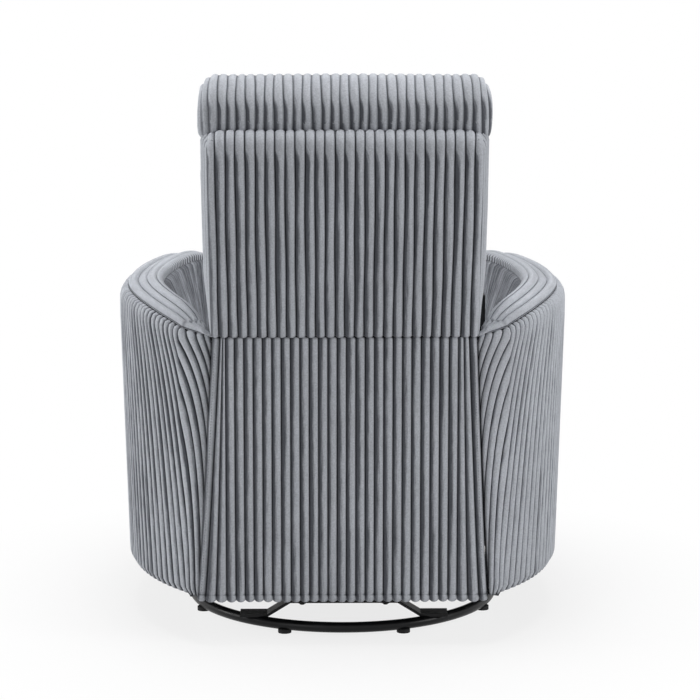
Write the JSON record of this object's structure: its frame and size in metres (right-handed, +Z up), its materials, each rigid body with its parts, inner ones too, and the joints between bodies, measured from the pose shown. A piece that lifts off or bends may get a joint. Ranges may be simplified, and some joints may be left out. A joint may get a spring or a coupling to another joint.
{
  "type": "swivel glider recliner",
  "caption": "Barrel-arm recliner in plush corduroy with layered back cushions, a fold-out footrest and a hanging-link glider on a swivelling steel ring base.",
  "frame": {"origin": "on the floor under the swivel axis, at the centre of the overall footprint", "axes": "+Z up along the swivel axis, -Y towards the sitter's front, +X to the sitter's left"},
  "size_m": [0.81, 0.8477, 1.0017],
  "materials": {
    "corduroy": "plush wide-wale corduroy, slate grey",
    "bare_wood": "raw plywood and pine",
    "black_steel": "semi-gloss black powder coat",
    "zinc_steel": "zinc plated, slightly dull",
    "black_plastic": "fine textured black",
    "rubber_pad": "matt",
    "elastic_web": "woven elastic webbing"
  },
  "bodies": {
    "base": {"base_ring": "black_steel", "foot_pads": "rubber_pad", "bow_bar_front": "black_steel", "bow_bar_rear": "black_steel", "base_straps": "black_steel", "base_bolts": "zinc_steel", "lower_race": "zinc_steel", "race_balls": "zinc_steel", "ball_cage": "black_plastic"},
    "glider_frame": {"upper_race": "zinc_steel", "glider_cross_front": "black_steel", "glider_cross_rear": "black_steel", "glider_rail_left": "black_steel", "glider_rail_right": "black_steel", "front_hangers": "black_steel", "rear_hangers": "black_steel", "hanger_pins": "zinc_steel"},
    "front_swing": {"front_links": "zinc_steel"},
    "rear_swing": {"rear_links": "zinc_steel"},
    "carriage": {"side_plate_left": "zinc_steel", "side_plate_right": "zinc_steel", "carriage_pins": "zinc_steel", "cross_tube": "black_steel", "seat_front_rail": "bare_wood", "seat_rear_rail": "bare_wood", "seat_side_rail_left": "bare_wood", "seat_side_rail_right": "bare_wood", "seat_webbing": "elastic_web", "seat_cushion": "corduroy", "arm_spacers": "bare_wood", "arm_cover_left": "corduroy", "arm_cover_right": "corduroy", "arm_frame_left": "bare_wood", "arm_frame_right": "bare_wood", "rear_flap": "corduroy"},
    "back": {"back_post_left": "bare_wood", "back_post_right": "bare_wood", "back_top_rail": "bare_wood", "back_bottom_rail": "bare_wood", "back_bracket_left": "zinc_steel", "back_bracket_right": "zinc_steel", "back_webbing": "elastic_web", "back_side_bands": "corduroy", "back_rear_panel": "corduroy", "lumbar_cushion": "corduroy", "middle_cushion": "corduroy", "head_pillow": "corduroy"},
    "drive": {"drive_tube": "black_steel", "drive_links": "zinc_steel"},
    "upper_arms": {"upper_links": "zinc_steel"},
    "rising_arms": {"rising_links": "zinc_steel"},
    "falling_arms": {"falling_links": "zinc_steel"},
    "carrier_arms": {"bracket_links": "zinc_steel"},
    "control_arms": {"control_links": "zinc_steel"},
    "footrest": {"footrest_brackets": "zinc_steel", "footrest_board": "bare_wood", "footrest_pad": "corduroy"},
    "release": {"release_lever": "zinc_steel", "release_paddle": "black_plastic"}
  },
  "joints": [
    {"name": "seat_swivel", "type": "hinge", "parent": "base", "child": "glider_frame", "pos_m": [0, 0, 0.066], "axis": [0, 0, 1], "continuous": true},
    {"name": "glide", "type": "hinge", "parent": "glider_frame", "child": "front_swing", "pos_m": [0, -0.12, 0.23], "axis": [-1, 0, 0], "range_deg": [-12, 12]},
    {"name": "glide_seat", "type": "hinge", "parent": "front_swing", "child": "carriage", "pos_m": [0, -0.12, 0.112], "axis": [-1, 0, 0], "range_deg": [-12.5, 12.5]},
    {"name": "glide_rear", "type": "hinge", "parent": "glider_frame", "child": "rear_swing", "pos_m": [0, 0.12, 0.23], "axis": [-1, 0, 0], "range_deg": [-12.5, 12.5]},
    {"name": "recline", "type": "hinge", "parent": "carriage", "child": "back", "pos_m": [0, 0.255, 0.415], "axis": [-1, 0, 0], "range_deg": [0, 35], "deforming": ["rear_flap"]},
    {"name": "footrest_drive", "type": "hinge", "parent": "carriage", "child": "drive", "pos_m": [0, -0.215, 0.172], "axis": [-1, 0, 0], "range_deg": [0, 44.2]},
    {"name": "upper_fold", "type": "hinge", "parent": "carriage", "child": "upper_arms", "pos_m": [0, -0.215, 0.172], "axis": [-1, 0, 0], "range_deg": [-44.5, 0.3]},
    {"name": "rising_fold", "type": "hinge", "parent": "drive", "child": "rising_arms", "pos_m": [0, -0.2861, 0.12362], "axis": [-1, 0, 0], "range_deg": [-88.7, 0.3]},
    {"name": "falling_fold", "type": "hinge", "parent": "upper_arms", "child": "falling_arms", "pos_m": [0, -0.21895, 0.25791], "axis": [-1, 0, 0], "range_deg": [-0.3, 88.7]},
    {"name": "carrier_fold", "type": "hinge", "parent": "rising_arms", "child": "carrier_arms", "pos_m": [0, -0.294, 0.29544], "axis": [-1, 0, 0], "range_deg": [-0.3, 88.7]},
    {"name": "control_fold", "type": "hinge", "parent": "falling_arms", "child": "control_arms", "pos_m": [0, -0.36115, 0.16116], "axis": [-1, 0, 0], "range_deg": [-118.03, 0.3]},
    {"name": "footrest_turn", "type": "hinge", "parent": "carrier_arms", "child": "footrest", "pos_m": [0, -0.3651, 0.24707], "axis": [-1, 0, 0], "range_deg": [-0.3, 46.1]},
    {"name": "release", "type": "hinge", "parent": "carriage", "child": "release", "pos_m": [0, -0.1, 0.338], "axis": [-1, 0, 0], "range_deg": [0, 25], "stiffness_Nm_per_rad": 1.6, "springref_deg": -8.59}
  ],
  "couplings": [
    {"joint": "glide_seat", "follows": "glide", "ratio": -1},
    {"joint": "glide_rear", "follows": "glide", "ratio": 1},
    {"joint": "upper_fold", "follows": "footrest_drive", "ratio": -1},
    {"joint": "rising_fold", "follows": "footrest_drive", "ratio": -2},
    {"joint": "falling_fold", "follows": "footrest_drive", "ratio": 2},
    {"joint": "carrier_fold", "follows": "footrest_drive", "ratio": 2},
    {"joint": "control_fold", "follows": "footrest_drive", "ratio": -2.6636},
    {"joint": "footrest_turn", "follows": "footrest_drive", "ratio": 1.0362}
  ]
}
